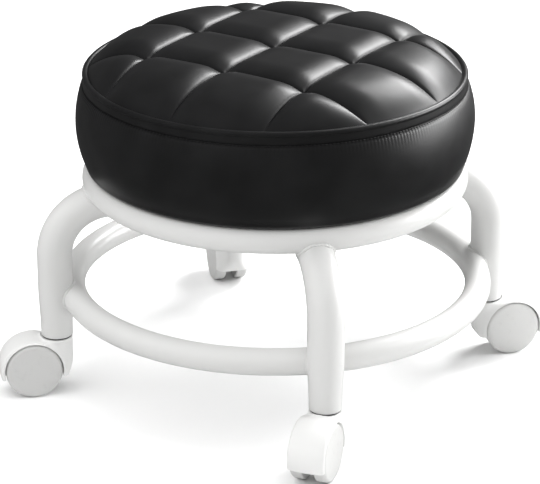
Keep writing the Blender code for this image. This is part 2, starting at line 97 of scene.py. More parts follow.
# Frame
LEG_RIM = 0.0006
LEG_SEAT_GAP = 0.0005
LEG_TAPER_OFFSET = 0.004
LEG_TAPER_LENGTH = 0.04
UPPER_WELD_SPAN = (radians(-138), radians(-8))
LOWER_WELD_SPAN = (radians(-92), radians(92))
WELD_STEPS = 130
WELD_RIPPLE = 0.10
WELD_RIPPLE_PITCH = 0.0028
WELD_FADE = 0.004

# Casters. The neck's front is a round that curves in below, placed from the axle.
NECK_FRONT_X = -0.0080
NECK_FRONT_Z = 0.0104
NECK_FRONT_RADIUS = 0.0268
NECK_FRONT_JOIN = 0.002
NECK_JOIN = 0.0055
HOOD_SIDE_ROUND = 0.0030
LEG_ROOM = 0.0007
LEG_ROOM_DEPTH = 0.0016
LEG_ROOM_CORNER = 0.0005
LEG_ROOM_RIM = 0.0008
HOOD_SPAN = (radians(-14), radians(193))
HOOD_RAY_START = 0.020
HOOD_RAY_SPAN = (0.004, 0.036, 90)
HOOD_RAY_MARGIN = 0.0003
HOOD_END_SHARE = 0.97
HALVINGS = 24
HOOD_EDGE = 0.0006
WEB_OVERLAP = 0.0004
WEB_ROUND = 0.0006
WHEEL_EDGE = 0.0032
WHEEL_BACK_EDGE = 0.0016
WHEEL_DISH = 0.0005
WHEEL_SET_IN = 0.0002
WHEEL_BOSS_RADIUS = 0.006
WHEEL_BOSS = 0.0004
PLUG_BORE = 0.0059
PLUG_INSET = 0.0006
PLUG_FLANGE = 0.0012
PLUG_CHAMFER = 0.0003

# Stage
FLOOR_REACH = 6.0
FLOOR_COUNT = 25
SENSOR_WIDTH = 36
FAR_CLIP = 50

bl_info = {
    "name": "Rolling stool",
    "version": (1, 0, 0),
    "blender": (4, 5, 0),
    "location": "View3D > Sidebar > Stool",
    "description": "Builds the visible surfaces and finishes of a quilted rolling stool",
    "category": "Object",
}


# Sizes and colours a user would change


def length(name, description, default):
    return bpy.props.FloatProperty(
        name=name, description=description, default=default, subtype="DISTANCE", unit="LENGTH", precision=4
    )


def colour(name, description, default):
    return bpy.props.FloatVectorProperty(
        name=name, description=description, default=default, subtype="COLOR", size=3, min=0.0, max=1.0
    )


class StoolSeatSizes(bpy.types.PropertyGroup):
    quilt_pitch: length("Quilt pitch", "Distance between neighbouring seams of the quilting", 0.0755)
    quilt_radius: length("Quilt radius", "Radius where the quilted top meets the welt", 0.1556)
    pillow_rise: length("Pillow rise", "Height of the middle pillows above the welt", 0.0280)
    seam_depth: length("Seam depth", "Depth of the seams below the pillows", 0.0060)
    shoulder_width: length("Shoulder width", "How far a pillow's rounded side reaches from its seam", 0.0215)
    dimple_depth: length("Dimple depth", "Extra depth where two seams cross", 0.0030)
    welt_height: length("Welt height", "Height of the welt above the floor", 0.2725)
    welt_radius: length("Welt radius", "Radius of the welt's own round section", 0.0026)
    welt_ring_radius: length("Welt ring radius", "Radius of the ring that the welt makes", 0.1574)
    band_bottom: length("Band bottom", "Height of the seat's underside above the floor", 0.1934)
    band_bulge_radius: length("Band bulge radius", "Widest radius of the side band", 0.1666)
    band_foot_radius: length("Band foot radius", "Radius of the side band at its lower edge", 0.1572)
    hem_radius: length("Hem radius", "Inner radius of the hem under the seat", 0.128)
    stitch_pitch: length("Stitch pitch", "Distance between neighbouring stitches", 0.0031)
    stitch_drop: length("Stitch drop", "Distance from the welt down to the row of stitches", 0.0086)


class StoolFrameSizes(bpy.types.PropertyGroup):
    ring_tube_radius: length("Ring tube radius", "Outer radius of the rings' tube", 0.011)
    upper_ring_radius: length("Upper ring radius", "Radius of the upper ring's centre line", 0.151)
    upper_ring_height: length("Upper ring height", "Height of the upper ring's centre line", 0.1821)
    lower_ring_radius: length("Lower ring radius", "Radius of the lower ring's centre line", 0.173)
    lower_ring_height: length("Lower ring height", "Height of the lower ring's centre line", 0.0866)
    leg_pitch_radius: length("Leg pitch radius", "Distance of each leg from the seat's axis", 0.1886)
    leg_radius: length("Leg radius", "Outer radius of a leg's tube", 0.0148)
    leg_foot_radius: length("Leg foot radius", "Outer radius of a leg's drawn-in foot", 0.0134)
    leg_bend_radius: length("Leg bend radius", "Radius of a leg's bend, to its centre line", 0.046)
    leg_bend_start: length("Leg bend start", "Height at which a leg starts to bend", 0.1235)
    foot_height: length("Foot height", "Height of a leg's lower end above the floor", 0.0519)
    weld_radius: length("Weld radius", "Radius of the weld beads", 0.0017)


class StoolCasterSizes(bpy.types.PropertyGroup):
    wheel_radius: length("Wheel radius", "Radius of a wheel", 0.024)
    wheel_width: length("Wheel width", "Width of a wheel", 0.0108)
    caster_width: length("Caster width", "Width over both wheels", 0.0314)
    hood_radius: length("Hood radius", "Radius of the hood's crown about the axle", 0.0273)
    hood_bulge: length("Hood bulge", "How much further the hood reaches at its back", 0.0016)
    hood_drop: length("Hood drop", "How much the hood's crown falls toward its sides", 0.0012)
    hood_room: length("Hood room", "Radius of the wheels' room inside the hood", 0.0248)
    neck_radius: length("Neck radius", "Radius of the hood's neck under the leg", 0.0134)
    web_width: length("Web width", "Thickness of the web between the wheels", 0.0086)
    web_floor: length("Web floor", "Height of the web's lower edge above the floor", 0.0165)


class StoolColours(bpy.types.PropertyGroup):
    vinyl: colour("Vinyl", "Colour of the seat's vinyl", (0.0080, 0.0080, 0.0083))
    powder_coat: colour("Powder coat", "Colour of the frame's powder coat", (0.61, 0.61, 0.602))
    hood_plastic: colour("Hood plastic", "Colour of the caster hoods", (0.72, 0.72, 0.712))
    wheel_plastic: colour("Wheel plastic", "Colour of the wheels", (0.58, 0.58, 0.572))
    floor: colour("Floor", "Colour of the studio floor", (0.93, 0.93, 0.93))


class StoolStage(bpy.types.PropertyGroup):
    view_turn: bpy.props.FloatProperty(
        name="View turn", description="How far the camera stands to the left of the front leg",
        default=0.2148, subtype="ANGLE", unit="ROTATION",
    )
    view_rise: bpy.props.FloatProperty(
        name="View rise", description="How far the camera looks down", default=0.3889, subtype="ANGLE",
        unit="ROTATION",
    )
    view_distance: length("View distance", "Distance from the camera to the point it looks at", 2.2294)
    view_height: length("View height", "Height of the point the camera looks at", 0.1187)
    view_side: length("View side", "How far that point lies to the left of the seat's axis", 0.0042)
    focal_length: bpy.props.FloatProperty(
        name="Focal length", description="Focal length of the lens, in millimetres", default=174.65,
    )
    key_power: bpy.props.FloatProperty(
        name="Key power", description="Power of the softbox behind the stool's right side", default=38.0,
        subtype="POWER",
    )
    fill_power: bpy.props.FloatProperty(
        name="Fill power", description="Power of the large overhead fill", default=188.0, subtype="POWER",
    )
    side_power: bpy.props.FloatProperty(
        name="Side power", description="Power of the strip light low on the right", default=38.0,
        subtype="POWER",
    )
    sky: bpy.props.FloatProperty(
        name="Surroundings", description="Brightness of the surroundings", default=0.10, min=0.0,
    )


def seat():
    return bpy.context.scene.stool_seat


def tubes():
    return bpy.context.scene.stool_frame


def caster():
    return bpy.context.scene.stool_caster


def colours():
    return bpy.context.scene.stool_colours


def stage_settings():
    return bpy.context.scene.stool_stage


# Meshes


def grid_quads(rows, columns, wrap_rows, wrap_columns):
    """The quads of a grid of points: each point with its neighbour along the row, and the two after them."""
    i, j = np.meshgrid(
        np.arange(rows if wrap_rows else rows - 1),
        np.arange(columns if wrap_columns else columns - 1),
        indexing="ij",
    )
    i2, j2 = (i + 1) % rows, (j + 1) % columns
    corners = (i * columns + j, i * columns + j2, i2 * columns + j2, i2 * columns + j)
    return np.stack(corners, -1).reshape(-1, 4)


def piece(name, sheets, finish, sharp=radians(50)):
    """One object from sheets, each (points in rows and columns, wrap rows, wrap columns).

    Points that meet are merged, and the faces are turned outwards.
    """
    points, faces, start = [], [], 0
    for grid, wrap_rows, wrap_columns in sheets:
        rows, columns = grid.shape[:2]
        points.append(grid.reshape(-1, 3))
        faces.append(grid_quads(rows, columns, wrap_rows, wrap_columns) + start)
        start += rows * columns
    mesh = bpy.data.meshes.new(name)
    mesh.from_pydata(np.concatenate(points).tolist(), [], np.concatenate(faces).tolist())
    bm = bmesh.new()
    bm.from_mesh(mesh)
    bmesh.ops.remove_doubles(bm, verts=bm.verts, dist=MERGE)
    bmesh.ops.recalc_face_normals(bm, faces=bm.faces)
    bm.to_mesh(mesh)
    bm.free()
    mesh.shade_smooth()
    mesh.set_sharp_from_angle(angle=sharp)
    mesh.materials.append(finish)
    made = bpy.data.objects.new(name, mesh)
    bpy.context.scene.collection.objects.link(made)
    return made


def place(made, body, slot, *nodes):
    """The piece rides on a body and stands for CAD nodes, which are hidden. The slot is not used."""
    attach(made, body)
    if nodes:
        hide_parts(*nodes)
    return made


def around(count):
    """Equal turns of a full circle, the end left out."""
    return np.arange(count) * 2 * pi / count


def turned(profile, count, centre=(0, 0, 0)):
    """A profile of (radius, height) rows turned about the Z axis through centre: x = r cos t, y = r sin t."""
    profile = np.asarray(profile, float)
    turn = around(count)
    radius, height = profile[:, :1], profile[:, 1:]
    flat = np.stack([radius * np.cos(turn), radius * np.sin(turn), height + 0 * turn], -1)
    return flat + np.array(centre)


def unit(vectors):
    return vectors / np.linalg.norm(vectors, axis=-1, keepdims=True)


def swept(path, radii, across, sides):
    """A round section carried along a path: centre + r (cos t across + sin t (across x tangent))."""
    path = np.asarray(path, float)
    tangent = unit(np.gradient(path, axis=0))
    across = unit(across - (across * tangent).sum(-1, keepdims=True) * tangent)
    other = np.cross(tangent, across)
    turn = around(sides)[None, :, None]
    radii = np.asarray(radii, float).reshape(-1, 1, 1)
    return path[:, None] + radii * (np.cos(turn) * across[:, None] + np.sin(turn) * other[:, None])


def capped(tube, rounding=0.0, steps=3):
    """The rows of a tube with its ends drawn in to a point, over a rounded edge of that radius."""
    rows = []
    for end, inner in ((tube[0], tube[1]), (tube[-1], tube[-2])):
        centre = end.mean(0)
        along = unit(centre - inner.mean(0))
        reach = np.linalg.norm(end[0] - centre)
        turns = np.linspace(0, pi / 2, steps + 1)[1:] if rounding else np.array([])
        edge = [
            centre + (end - centre) * (1 - rounding * (1 - cos(t)) / reach) + along * rounding * sin(t)
            for t in turns
        ]
        tip = centre + along * rounding
        edge.append(np.repeat(tip[None], len(end), 0))
        rows.append(edge)
    return np.concatenate([np.array(rows[0][::-1]), tube, np.array(rows[1])])


def spun(points, degrees):
    """Points turned about the Z axis."""
    turn = radians(degrees)
    x, y = points[..., 0], points[..., 1]
    return np.stack([x * cos(turn) - y * sin(turn), x * sin(turn) + y * cos(turn), points[..., 2]], -1)


# Seat


def close_ends(count):
    """Shares from 0 to 1, crowded at both ends: s - a sin(2 pi s) / (2 pi), with a just under 1."""
    share = np.linspace(0, 1, count)
    return share - SEAM_CROWDING * np.sin(2 * pi * share) / (2 * pi)


def shoulder(across):
    """The fall beside a seam, and the distance d from it.

    The fall is 1 on the seam and 0 where the pillow's top turns level: (1 - d / w) squared.
    """
    s = seat()
    across = np.abs(across)
    nearest = s.quilt_pitch * np.clip(np.round(across / s.quilt_pitch), 0, 1)
    away = np.abs(across - nearest)
    return np.clip(1 - away / s.shoulder_width, 0, 1) ** SHOULDER_POWER, away


def quilt_height(u, v):
    """The quilted top's height over a point, with u and v across the two families of seams.

    A low dome, rise (1 - share^7), falls to the welt. Taken off it are the seams' shoulders, a thin crease
    along each seam, depth exp(-d / width), and a dimple where two seams cross, depth exp(-(d / reach)^2).
    """
    s = seat()
    share = np.clip(np.hypot(u, v) / s.quilt_radius, 0, 1)
    dome = s.pillow_rise * (1 - share**DOME_POWER)
    (fall_u, away_u), (fall_v, away_v) = shoulder(u), shoulder(v)
    inside = 1 - share**RIM_POWER
    valley = s.seam_depth * (1 - (1 - fall_u) * (1 - fall_v))
    crease = np.maximum(np.exp(-away_u / CREASE_WIDTH), np.exp(-away_v / CREASE_WIDTH))
    dimple = np.exp(-((np.hypot(away_u, away_v) / DIMPLE_REACH) ** 2))
    return s.welt_height + dome - (valley + CREASE_DEPTH * crease + s.dimple_depth * dimple) * inside


def quilt_quadrant(count):
    """One quarter of the top as four patches of (u, v).

    They are a whole pillow, two that the welt cuts, and the corner one.
    """
    s = seat()
    pitch, rim = s.quilt_pitch, s.quilt_radius
    share = close_ends(count)
    first, second = np.meshgrid(share, share, indexing="ij")
    whole = np.stack([first * pitch, second * pitch], -1)
    across = second * pitch
    reach = np.sqrt(rim**2 - across**2)
    side = np.stack([pitch + first * (reach - pitch), across], -1)
    corner = corner_patch(share, pitch, rim)
    return [whole, side, side[..., ::-1], corner]


def corner_patch(share, pitch, rim):
    """The pillow between two last seams and the welt, filled in between its four edges (a Coons patch)."""
    end = sqrt(rim**2 - pitch**2)
    low = atan2(pitch, end)
    s = share[:, None]
    near_angle = low + (pi / 4 - low) * s
    far_angle = pi / 2 - near_angle
    seam_u = np.concatenate([pitch + (end - pitch) * s, 0 * s + pitch], -1)
    seam_v = seam_u[:, ::-1]
    arc_u = rim * np.concatenate([np.cos(near_angle), np.sin(near_angle)], -1)
    arc_v = rim * np.concatenate([np.cos(far_angle), np.sin(far_angle)], -1)
    a, b = share[:, None, None], share[None, :, None]
    edges = (1 - b) * seam_u[:, None] + b * arc_v[:, None] + (1 - a) * seam_v[None] + a * arc_u[None]
    corners = (1 - a) * (1 - b) * seam_u[0] + a * (1 - b) * seam_u[-1] + (1 - a) * b * seam_v[-1]
    return edges - corners - a * b * arc_u[-1]


def quilt_top(count):
    """The whole top: the quarter in its four mirror images, turned so that the seams run between the legs."""
    patches = []
    for patch in quilt_quadrant(count):
        for flip in ((1, 1), (-1, 1), (1, -1), (-1, -1)):
            u, v = patch[..., 0] * flip[0], patch[..., 1] * flip[1]
            flat = np.stack([u, v, quilt_height(u, v)], -1)
            patches.append(spun(flat, QUILT_TURN))
    return patches


def quilt_rim_angles(count):
    """The turns at which the patches meet the rim."""
    s = seat()
    share = close_ends(count)
    side = np.arcsin(share * s.quilt_pitch / s.quilt_radius)
    corner = side[-1] + (pi / 4 - side[-1]) * share
    eighth = np.concatenate([side, corner[1:]])
    quarter = np.concatenate([eighth, pi / 2 - eighth[-2::-1]])
    return np.concatenate([quarter[:-1] + k * pi / 2 for k in range(4)]) + radians(QUILT_TURN)


def quilt_underside(count):
    """From the rim straight down, then in along a shallow dome, which is the foam's top."""
    s = seat()
    turn = quilt_rim_angles(count)
    shares = np.array([1, 1, 0.9, 0.7, 0.4, 0])
    heights = s.welt_height + UNDERSIDE_RISE * (1 - shares**UNDERSIDE_POWER) - SKIN
    heights[0] = s.welt_height
    radius = (shares * s.quilt_radius)[:, None]
    return np.stack([radius * np.cos(turn), radius * np.sin(turn), heights[:, None] + 0 * turn], -1)


def band_radius(height):
    """The side band's bulge: widest midway, with its top drawn in under the welt's seam."""
    s = seat()
    middle = (s.band_bottom + s.welt_height) / 2
    rise = (height - middle) / (middle - s.band_bottom)
    return s.band_bulge_radius - (s.band_bulge_radius - s.band_foot_radius) * rise**2


def stitch_count():
    s = seat()
    return round(2 * pi * s.welt_ring_radius / s.stitch_pitch)


def band_surface():
    """The band as a closed skin: strip under the welt, groove with puckers, bulge, lower corner and hem.

    The radius is the bulge less a groove, depth exp(-(d / w)^2), at the stitches. One ripple a stitch is
    laid over it, which fades above and below them, and the band's slack is a slow wave of sines.
    """
    s = seat()
    stitches = stitch_count()
    turn = around(stitches * 4)
    seam = s.welt_height - s.stitch_drop
    top = s.welt_height - s.welt_radius * STRIP_TOP_SHARE
    start, end = seam - BULGE_START, s.band_bottom + BAND_CORNER
    strip = np.linspace(top, seam + STRIP_END, 8)
    groove = np.linspace(seam + GROOVE_HALF, seam - GROOVE_HALF, 9)
    bulge = start - (start - end) * np.linspace(0, 1, 26) ** BULGE_CROWDING
    heights = np.concatenate([strip, groove, bulge])
    radius = band_radius(heights)
    strip_radius = s.welt_ring_radius + STRIP_STEP + (top - heights) * STRIP_LEAN
    above = heights - seam
    share = 1 / (1 + np.exp(-above / STRIP_BLEND))
    radius = radius * (1 - share) + strip_radius * share
    groove_depth = GROOVE_DEPTH * np.exp(-((above / GROOVE_WIDTH) ** 2))
    pucker_below = PUCKER * np.exp(-np.clip(-above, 0, None) / PUCKER_FADE)
    pucker_above = STRIP_PUCKER * np.exp(-np.clip(above, 0, None) / STRIP_PUCKER_FADE)
    ripple = np.where(above < 0, pucker_below, pucker_above)
    wave = np.cos(turn * stitches)
    slow = 0.6 + 0.4 * np.sin(turn * 7 + 1.3) * np.sin(turn * 3 + 0.4)
    outer = (radius - groove_depth)[:, None] + ripple[:, None] * wave * slow
    level = heights[:, None]
    outer = outer + SLACK * np.sin(turn * 5 + level * 60) * np.sin((level - s.band_bottom) * 39)
    z = level + 0 * turn
    arc = np.linspace(0, pi / 2, 6)[1:]
    foot = outer[-1] - BAND_CORNER * (1 - np.cos(arc))[:, None]
    foot_z = s.band_bottom + BAND_CORNER * (1 - np.sin(arc))[:, None] + 0 * turn
    under = np.linspace(foot[-1], 0 * turn + s.hem_radius, 5)[1:]
    inner = np.stack([0 * turn + s.hem_radius, foot[-1] - SKIN])
    inner_z = s.band_bottom + SKIN + 0 * inner
    rising = np.linspace(end, top, 12)[:, None]
    side = band_radius(rising) - BAND_THICKNESS + 0 * turn
    side_z = rising + 0 * turn
    r = np.concatenate([outer, foot, under, inner, side])
    h = np.concatenate([z, foot_z, s.band_bottom + 0 * under, inner_z, side_z])
    return np.stack([r * np.cos(turn), r * np.sin(turn), h], -1)


def welt_surface():
    """A round cord in its own ring, pinched a little between stitches."""
    s = seat()
    stitches = stitch_count()
    turn = around(stitches * 2)[:, None]
    section = around(16)[None]
    radius = s.welt_radius * (1 + WELT_PINCH * np.cos(turn * stitches / 2) * np.cos(section))
    out = s.welt_ring_radius + radius * np.cos(section)
    return np.stack([out * np.cos(turn), out * np.sin(turn), s.welt_height + radius * np.sin(section)], -1)


def stitch_surfaces():
    """Short threads end to end in the groove: each an ellipsoid, long along the seam, dipping at its ends."""
    s = seat()
    stitches = stitch_count()
    seam = s.welt_height - s.stitch_drop
    along = np.linspace(-1, 1, 7)[:, None]
    section = around(6)[None]
    half = STITCH_SHARE * s.stitch_pitch
    thick = THREAD_RADIUS * np.sqrt(1 - 0.999 * along**4)
    ring = band_radius(seam) - THREAD_SET_IN
    tangential = half * along + 0 * section
    outward = ring + thick * np.cos(section) + THREAD_ARCH * (1 - along**2)
    upward = seam + thick * np.sin(section) + THREAD_SLANT * along
    turn = around(stitches)[:, None, None] + tangential / ring
    threads = np.stack([outward * np.cos(turn), outward * np.sin(turn), upward + 0 * turn], -1)
    return [capped(thread_points) for thread_points in threads]


# Frame


def leg_reach(points):
    """Distance of points from a leg's centre line, less its radius.

    The line is a straight foot and a quarter bend.
    """
    t = tubes()
    x, y, z = points[..., 0], points[..., 1], points[..., 2]
    bend_x = t.leg_pitch_radius - t.leg_bend_radius
    up = np.clip(z - t.leg_bend_start, 0, None)
    straight = np.abs(x - t.leg_pitch_radius)
    bend = np.abs(np.hypot(x - bend_x, up) - t.leg_bend_radius)
    return np.hypot(np.where(z < t.leg_bend_start, straight, bend), y) - leg_radius_at(z)


def leg_radius_at(height):
    """The leg's radius: drawn in at the foot, and growing smoothly, 3 s^2 - 2 s^3, to its full size."""
    t = tubes()
    share = np.clip((height - t.foot_height - LEG_TAPER_OFFSET) / LEG_TAPER_LENGTH, 0, 1)
    smooth = share * share * (3 - 2 * share)
    return t.leg_foot_radius + (t.leg_radius - t.leg_foot_radius) * smooth


def leg_surface():
    """The tube carried up from its foot and round the bend to its level end, with rounded rims."""
    t = tubes()
    bend_x = t.leg_pitch_radius - t.leg_bend_radius
    heights = np.linspace(t.foot_height + LEG_SEAT_GAP, t.leg_bend_start, 40)[:-1]
    turns = np.linspace(0, pi / 2, 40)
    x = np.concatenate([0 * heights + t.leg_pitch_radius, bend_x + t.leg_bend_radius * np.cos(turns)])
    z = np.concatenate([heights, t.leg_bend_start + t.leg_bend_radius * np.sin(turns)])
    path = np.stack([x, 0 * x, z], -1)
    across = np.tile([0.0, 1.0, 0.0], (len(path), 1))
    radii = leg_radius_at(z)
    return capped(swept(path, radii, across, 56), rounding=LEG_RIM)


def ring_surface(radius, height):
    """A tube bent into a level ring: x = (R + r cos p) cos t, y = (R + r cos p) sin t, z = h + r sin p."""
    r = tubes().ring_tube_radius
    turn, section = around(256)[:, None], around(40)[None]
    out = radius + r * np.cos(section)
    return np.stack([out * np.cos(turn), out * np.sin(turn), height + r * np.sin(section) + 0 * turn], -1)


def weld_path(radius, height, span, count=56):
    """Where a ring's surface enters the leg on the X axis.

    For each place round the tube's section, the turn at which the leg's distance is zero, found by halving.
    """
    r = tubes().ring_tube_radius
    section = np.linspace(*span, count)
    inside, outside = 0 * section, 0 * section + 0.3
    for _ in range(40):
        turn = (inside + outside) / 2
        out = radius + r * np.cos(section)
        points = np.stack([out * np.cos(turn), out * np.sin(turn), height + r * np.sin(section)], -1)
        within = leg_reach(points) < 0
        inside, outside = np.where(within, turn, inside), np.where(within, outside, turn)
    return points


def weld_surface(radius, height, span):
    """A bead along both branches of the weld, one on each side of the leg, rippled as it was laid."""
    points = weld_path(radius, height, span)
    mirrored = points * np.array([1, -1, 1])
    loop = np.concatenate([points, mirrored[::-1]])
    keep = np.concatenate([[True], np.linalg.norm(np.diff(loop, axis=0), axis=-1) > 1e-5])
    loop = loop[keep]
    steps = np.concatenate([[0], np.cumsum(np.linalg.norm(np.diff(loop, axis=0), axis=-1))])
    even = np.linspace(0, steps[-1], WELD_STEPS)
    path = np.stack([np.interp(even, steps, loop[:, k]) for k in range(3)], -1)
    centre = path * np.array([1, 1, 0])
    centre = unit(centre) * radius + np.array([0, 0, height])
    across = path - centre
    ripple = 1 + WELD_RIPPLE * np.sin(even / WELD_RIPPLE_PITCH * 2 * pi)
    fade = np.clip(np.minimum(even, even[-1] - even) / WELD_FADE, 0.35, 1)
    return capped(swept(path, tubes().weld_radius * ripple * fade, across, 12), rounding=0.0002, steps=2)


# Casters


def softly_least(a, b, blend):
    """The smaller of two distances, with a rounded join of that width."""
    mix = np.clip(blend - np.abs(a - b), 0, None) / blend
    return np.minimum(a, b) - mix * mix * blend / 4


def softly_most(a, b, blend):
    """The larger of two distances, with a rounded join of that width."""
    return -softly_least(-a, -b, blend)


def hood_reach(x, y, z):
    """Below zero inside the hood, measured from the leg's foot, x the way it trails and y along the axle.

    The hood is a crowned disc about the axle joined softly to a round neck, whose front curves in below.
    Both are held between two flat sides, and the room that the leg's foot needs is taken out.
    """
    c, t = caster(), tubes()
    axle_x, axle_z = caster_trail(), c.wheel_radius - t.foot_height
    half = c.caster_width / 2
    rise, run = z - axle_z, x - axle_x
    out = np.hypot(run, rise)
    crown = c.hood_radius - c.hood_drop * (y / half) ** 2 + c.hood_bulge * np.clip(run / out, 0, 1) ** 2
    disc = out - crown
    neck = np.hypot(x, y) - c.neck_radius
    front = np.hypot(run - NECK_FRONT_X, np.minimum(rise - NECK_FRONT_Z, 0)) - NECK_FRONT_RADIUS
    neck = softly_most(neck, front, NECK_FRONT_JOIN)
    body = softly_least(disc, neck, NECK_JOIN)
    body = softly_most(body, np.abs(y) - half, HOOD_SIDE_ROUND)
    leg_room = softly_most(np.hypot(x, y) - c.neck_radius - LEG_ROOM, -LEG_ROOM_DEPTH - z, LEG_ROOM_CORNER)
    return softly_most(body, -leg_room, LEG_ROOM_RIM)


def caster_trail():
    """How far the axle stands from the swivel's axis, seen from above."""
    places = {joint["name"]: Vector(joint["pos_m"]) for joint in frame["joints"]}
    return (places["roll_front_a"] - places["swivel_front"]).xy.length


def hood_outside(count, fan):
    """The hood's outer skin, in planes through the axle.

    Along each ray of a fan it is the first place outside the hood, found by halving.
    """
    c, t = caster(), tubes()
    angle = np.linspace(*HOOD_SPAN, count)[:, None, None]
    half = c.caster_width / 2
    widest = atan2(half, c.hood_room + HOOD_RAY_MARGIN - HOOD_RAY_START)
    ray = (np.linspace(-1, 1, fan) * widest)[None, :, None]
    reach = np.linspace(*HOOD_RAY_SPAN)[None, None]

    def at(distance):
        out = HOOD_RAY_START + distance * np.cos(ray)
        x = caster_trail() + out * np.cos(angle)
        z = c.wheel_radius - t.foot_height + out * np.sin(angle)
        y = distance * np.sin(ray)
        return x, y + 0 * x, z

    beyond = hood_reach(*at(reach)) >= 0
    first = np.argmax(beyond, -1)[..., None]
    high = np.take_along_axis(reach + 0 * beyond, first, -1)
    low = high - (reach[0, 0, 1] - reach[0, 0, 0])
    for _ in range(HALVINGS):
        middle = (low + high) / 2
        out = hood_reach(*at(middle)) >= 0
        high, low = np.where(out, middle, high), np.where(out, low, middle)
    return np.stack([np.squeeze(k, -1) for k in at(high)], -1), angle[:, 0, 0]


def hood_shell(count=150, fan=61):
    """The hood as one closed section carried round the axle: outer skin and ceiling over the wheels."""
    c, t = caster(), tubes()
    skin, angle = hood_outside(count, fan)
    half = c.caster_width / 2 - HOOD_EDGE
    across = np.linspace(half, -half, 7)[None]
    out = c.hood_room + 0 * across
    x = caster_trail() + out * np.cos(angle[:, None])
    z = c.wheel_radius - t.foot_height + out * np.sin(angle[:, None])
    ceiling = np.stack([x, across + 0 * x, z], -1)
    section = np.concatenate([skin, ceiling], 1)
    middle = section.mean(1, keepdims=True)
    ends = np.stack([np.repeat(middle[0], section.shape[1], 0), np.repeat(middle[-1], section.shape[1], 0)])
    inset = middle[[0, -1]] + (section[[0, -1]] - middle[[0, -1]]) * HOOD_END_SHARE
    return np.concatenate([ends[:1], inset[:1], section, inset[1:], ends[1:]])


def web_plate():
    """The plate between the wheels: a disc about the axle, cut level below, with softened rims."""
    c, t = caster(), tubes()
    angle = around(96)
    drop = c.wheel_radius - c.web_floor
    low = np.sin(angle) < 0
    level = drop / np.clip(-np.sin(angle), 0.05, None)
    full = c.hood_room + WEB_OVERLAP
    lesser = -np.logaddexp(-level / WEB_ROUND, -full / WEB_ROUND) * WEB_ROUND
    outline = np.where(low, lesser, full)
    half, soft = c.web_width / 2, WEB_ROUND
    shares = np.array([0, 0.5, 1, 1, 1, 1, 0.5, 0])[:, None]
    insets = np.array([0, 0, soft, 0, 0, soft, 0, 0])[:, None]
    widths = np.array([half, half, half, half - soft, soft - half, -half, -half, -half])[:, None]
    out = outline * shares - insets
    x = caster_trail() + out * np.cos(angle)
    z = c.wheel_radius - t.foot_height + out * np.sin(angle)
    return np.stack([x, widths + 0 * x, z], -1)


def wheel_surface(side):
    """A wheel turned about its axle: crowned outer face, rounded edges, flat tread and inner face."""
    c = caster()
    outer = c.caster_width / 2
    inner = outer - c.wheel_width
    r = c.wheel_radius
    edge, back = WHEEL_EDGE, WHEEL_BACK_EDGE
    arc = np.linspace(0, pi / 2, 9)
    face_r = np.array([0, 0.25, 0.5, 0.75, 0.9]) * (r - edge)
    face_y = outer + WHEEL_DISH * (1 - (face_r / (r - edge)) ** 2) - WHEEL_SET_IN
    rim_r = r - edge + edge * np.sin(arc)
    rim_y = outer - edge + (edge - WHEEL_SET_IN) * np.cos(arc)
    tread_r = np.array([1, 1, 1]) * r
    tread_y = np.linspace(outer - edge, inner + back, 5)[1:4]
    back_r = r - back + back * np.cos(arc)
    back_y = inner + back - back * np.sin(arc)
    boss_r = [WHEEL_BOSS_RADIUS, WHEEL_BOSS_RADIUS, 0.0]
    boss_y = [inner, inner - WHEEL_BOSS, inner - WHEEL_BOSS]
    profile_r = np.concatenate([face_r, rim_r, tread_r, back_r, boss_r])
    profile_y = np.concatenate([face_y, rim_y, tread_y, back_y, boss_y])
    turn = around(96)
    out = profile_r[:, None]
    return np.stack([out * np.sin(turn), side * profile_y[:, None] + 0 * turn, out * np.cos(turn)], -1)


def caster_places():
    """For each side: the swivel's place, the wheels' place and the way the caster trails."""
    places = {joint["name"]: np.array(joint["pos_m"]) for joint in frame["joints"]}
    found = {}
    for side in SIDES:
        swivel, roll = places[f"swivel_{side}"], places[f"roll_{side}_a"]
        way = np.degrees(np.arctan2(roll[1] - swivel[1], roll[0] - swivel[0]))
        found[side] = (swivel, roll, way)
    return found


# Finishes


